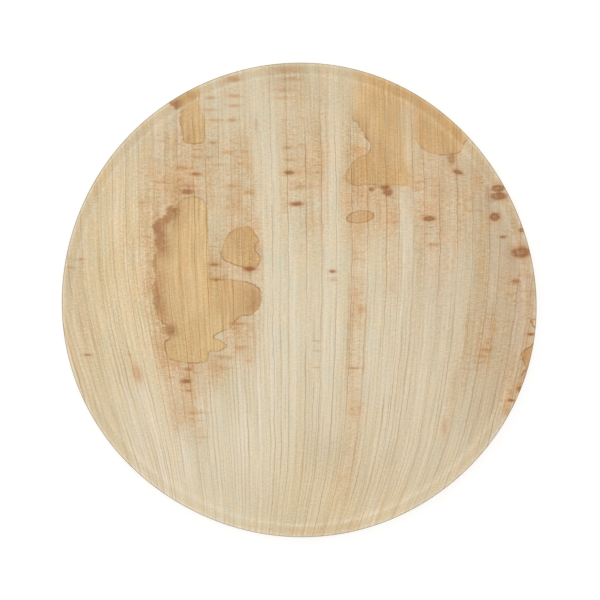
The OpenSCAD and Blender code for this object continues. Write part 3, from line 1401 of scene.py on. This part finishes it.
    @staticmethod
    def store(mesh: bpy.types.Mesh, name: str, domain: str, values: Array) -> None:
        """Store three numbers for each point or each corner of the mesh."""
        attribute = mesh.attributes.new(name, "FLOAT_VECTOR", domain)
        attribute.data.foreach_set("vector", values.astype(np.float32).ravel())

    def build(self) -> bpy.types.Object:
        """Make the plate's mesh, dress it and put it in the place of its solid.

        Returns:
            The new object.
        """
        vertices, groups, marks = self.surface()
        mesh = bpy.data.meshes.new("pressed_leaf_plate")
        faces = [face for group in groups for face in group.tolist()]
        mesh.from_pydata(vertices * MM, [], faces, shade_flat=False)
        for name, values in marks.items():
            self.store(mesh, name, "POINT", values)

        corner = np.concatenate([group.ravel() for group in groups])
        middle = [np.repeat(vertices[g].mean(1), g.shape[1], axis=0) for g in groups]
        spots = self.marks.spot_field(vertices[corner], np.concatenate(middle))
        spots[:, 2] *= 1 - marks["place"][corner, 2]
        self.store(mesh, "spot", "CORNER", spots)

        mesh.update()
        plate = put("pressed_leaf_plate", mesh)
        mesh.materials.append(self.finish.material())
        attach(plate, "root")
        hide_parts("plate")
        triangles = sum(len(group) * (group.shape[1] - 2) for group in groups)
        log.info("%s: %d vertices, %d triangles", plate.name, len(vertices), triangles)
        return plate


# Stage, light and camera


@dataclass(frozen=True)
class Studio:
    """A white table under a pale sky, one broad soft lamp and the camera.

    The camera looks straight down. Picture sizes are those of the photograph.
    """

    table_half: float = 6.0
    table_grey: float = 0.8
    veil_grey: float = 0.4
    table_glow: float = 0.7
    sky_top: float = 0.53
    sky_rise: float = 0.82
    lamp_power: float = 7.2
    lamp_place: tuple[float, float, float] = (-0.35, 0.35, 1.93)
    lamp_size: float = 1.4
    camera_height: float = 3.0
    sensor: float = 36.0
    far_clip: float = 50.0
    picture: float = 600.0
    pixels_per_mm: float = 1.902
    middle_px: tuple[float, float] = (298.97, 300.06)

    @staticmethod
    def seen(board: NodeBoard) -> Value:
        """Tell rays that show the background from those that light the object.

        Args:
            board: The node board to add to.

        Returns:
            1 for camera, glossy and transmission rays, otherwise 0.
        """
        path = board.add("ShaderNodeLightPath")
        kinds = ("Camera", "Glossy", "Transmission")
        rays = [Value(board, path.outputs[f"Is {kind} Ray"]) for kind in kinds]
        return (rays[0] + rays[1] + rays[2]).least(1.0)

    def light_sky(self) -> None:
        """Set a world that shows white and lights evenly.

        It is dimmer overhead, so that the wall gets as much light as the
        floor: its strength is sky_top + sky_rise * (1 - height), where height
        is 0 at the horizon and 1 overhead.
        """
        world = bpy.data.worlds.new("sky")
        bpy.context.scene.world = world
        world.use_nodes = True
        board = NodeBoard(world.node_tree)
        place = board.add("ShaderNodeTexCoord")
        split = board.add("ShaderNodeSeparateXYZ", None, {"Vector": place.outputs["Generated"]})
        height = Value(board, split.outputs["Z"]).most(0.0)
        strength = (1 - height) * self.sky_rise + self.sky_top
        glow = board.add(
            "ShaderNodeBackground", None, {"Color": (1.0, 1.0, 1.0), "Strength": strength}
        )
        white = board.add(
            "ShaderNodeBackground", None, {"Color": (1.0, 1.0, 1.0), "Strength": 1.0}
        )
        both = board.add(
            "ShaderNodeMixShader",
            None,
            {0: self.seen(board), 1: glow.outputs[0], 2: white.outputs[0]},
        )
        board.add("ShaderNodeOutputWorld", None, {"Surface": both.outputs[0]})

    def lay_table(self) -> bpy.types.Object:
        """Make the white table, which still takes the plate's shadow.

        Returns:
            The table.
        """
        h = self.table_half
        mesh = bpy.data.meshes.new("table")
        corners = [(-h, -h, 0), (h, -h, 0), (h, h, 0), (-h, h, 0)]
        mesh.from_pydata(corners, [], [(0, 1, 2, 3)])
        table = put("table", mesh)
        made, board = start_material("white_table")
        plain = board.add("ShaderNodeBsdfDiffuse", None, {"Color": (self.table_grey,) * 3})
        veil = board.add("ShaderNodeBsdfDiffuse", None, {"Color": (self.veil_grey,) * 3})
        glow = board.add("ShaderNodeEmission", None, {"Strength": self.table_glow})
        bright = board.add(
            "ShaderNodeAddShader", None, {0: veil.outputs[0], 1: glow.outputs[0]}
        )
        both = board.add(
            "ShaderNodeMixShader",
            None,
            {0: self.seen(board), 1: plain.outputs[0], 2: bright.outputs[0]},
        )
        board.add("ShaderNodeOutputMaterial", None, {"Surface": both.outputs[0]})
        mesh.materials.append(made)
        return table

    def hang_lamp(self) -> bpy.types.Object:
        """Hang the lamp and turn it to the plate.

        Returns:
            The lamp.
        """
        lamp = bpy.data.lights.new("soft_lamp", "AREA")
        lamp.shape = "SQUARE"
        lamp.size = self.lamp_size
        lamp.energy = self.lamp_power
        made = put("soft_lamp", lamp)
        x, y, z = self.lamp_place
        made.location = self.lamp_place
        made.rotation_euler = (0, math.atan2(math.hypot(x, y), z), math.atan2(y, x))
        return made

    def place_camera(self, rim_height: float) -> bpy.types.Object:
        """Put the camera over the plate so that its rim has the photograph's size.

        Args:
            rim_height: Height of the rim over the table.

        Returns:
            The camera.
        """
        camera = bpy.data.cameras.new("camera")
        camera.sensor_width = self.sensor
        half_view = self.picture / 2 / self.pixels_per_mm * MM
        camera.lens = camera.sensor_width / 2 * (self.camera_height - rim_height) / half_view
        camera.clip_end = self.far_clip
        made = put("camera", camera)
        off_x = (self.picture / 2 - self.middle_px[0]) / self.pixels_per_mm * MM
        off_y = (self.middle_px[1] - self.picture / 2) / self.pixels_per_mm * MM
        made.location = (off_x, off_y, self.camera_height)
        bpy.context.scene.camera = made
        return made

    def build(self, rim_height: float) -> None:
        """Set up the light, the table and the camera.

        Args:
            rim_height: Height of the plate's rim over the table.
        """
        bpy.context.scene.view_settings.view_transform = "Standard"
        self.light_sky()
        self.lay_table()
        self.hang_lamp()
        self.place_camera(rim_height)
        log.info("studio ready")


def main() -> None:
    logging.basicConfig(level=logging.INFO, format="%(name)s: %(message)s")
    low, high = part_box("plate")
    Studio().build(high.z)
    plate = PressedPlate(
        rim_r=(high.x - low.x) / 2 / MM,
        height=high.z / MM,
        grain=LeafGrain(),
        marks=LeafMarks(),
        finish=LeafFinish(),
    )
    plate.build()


if __name__ == "__main__":
    main()
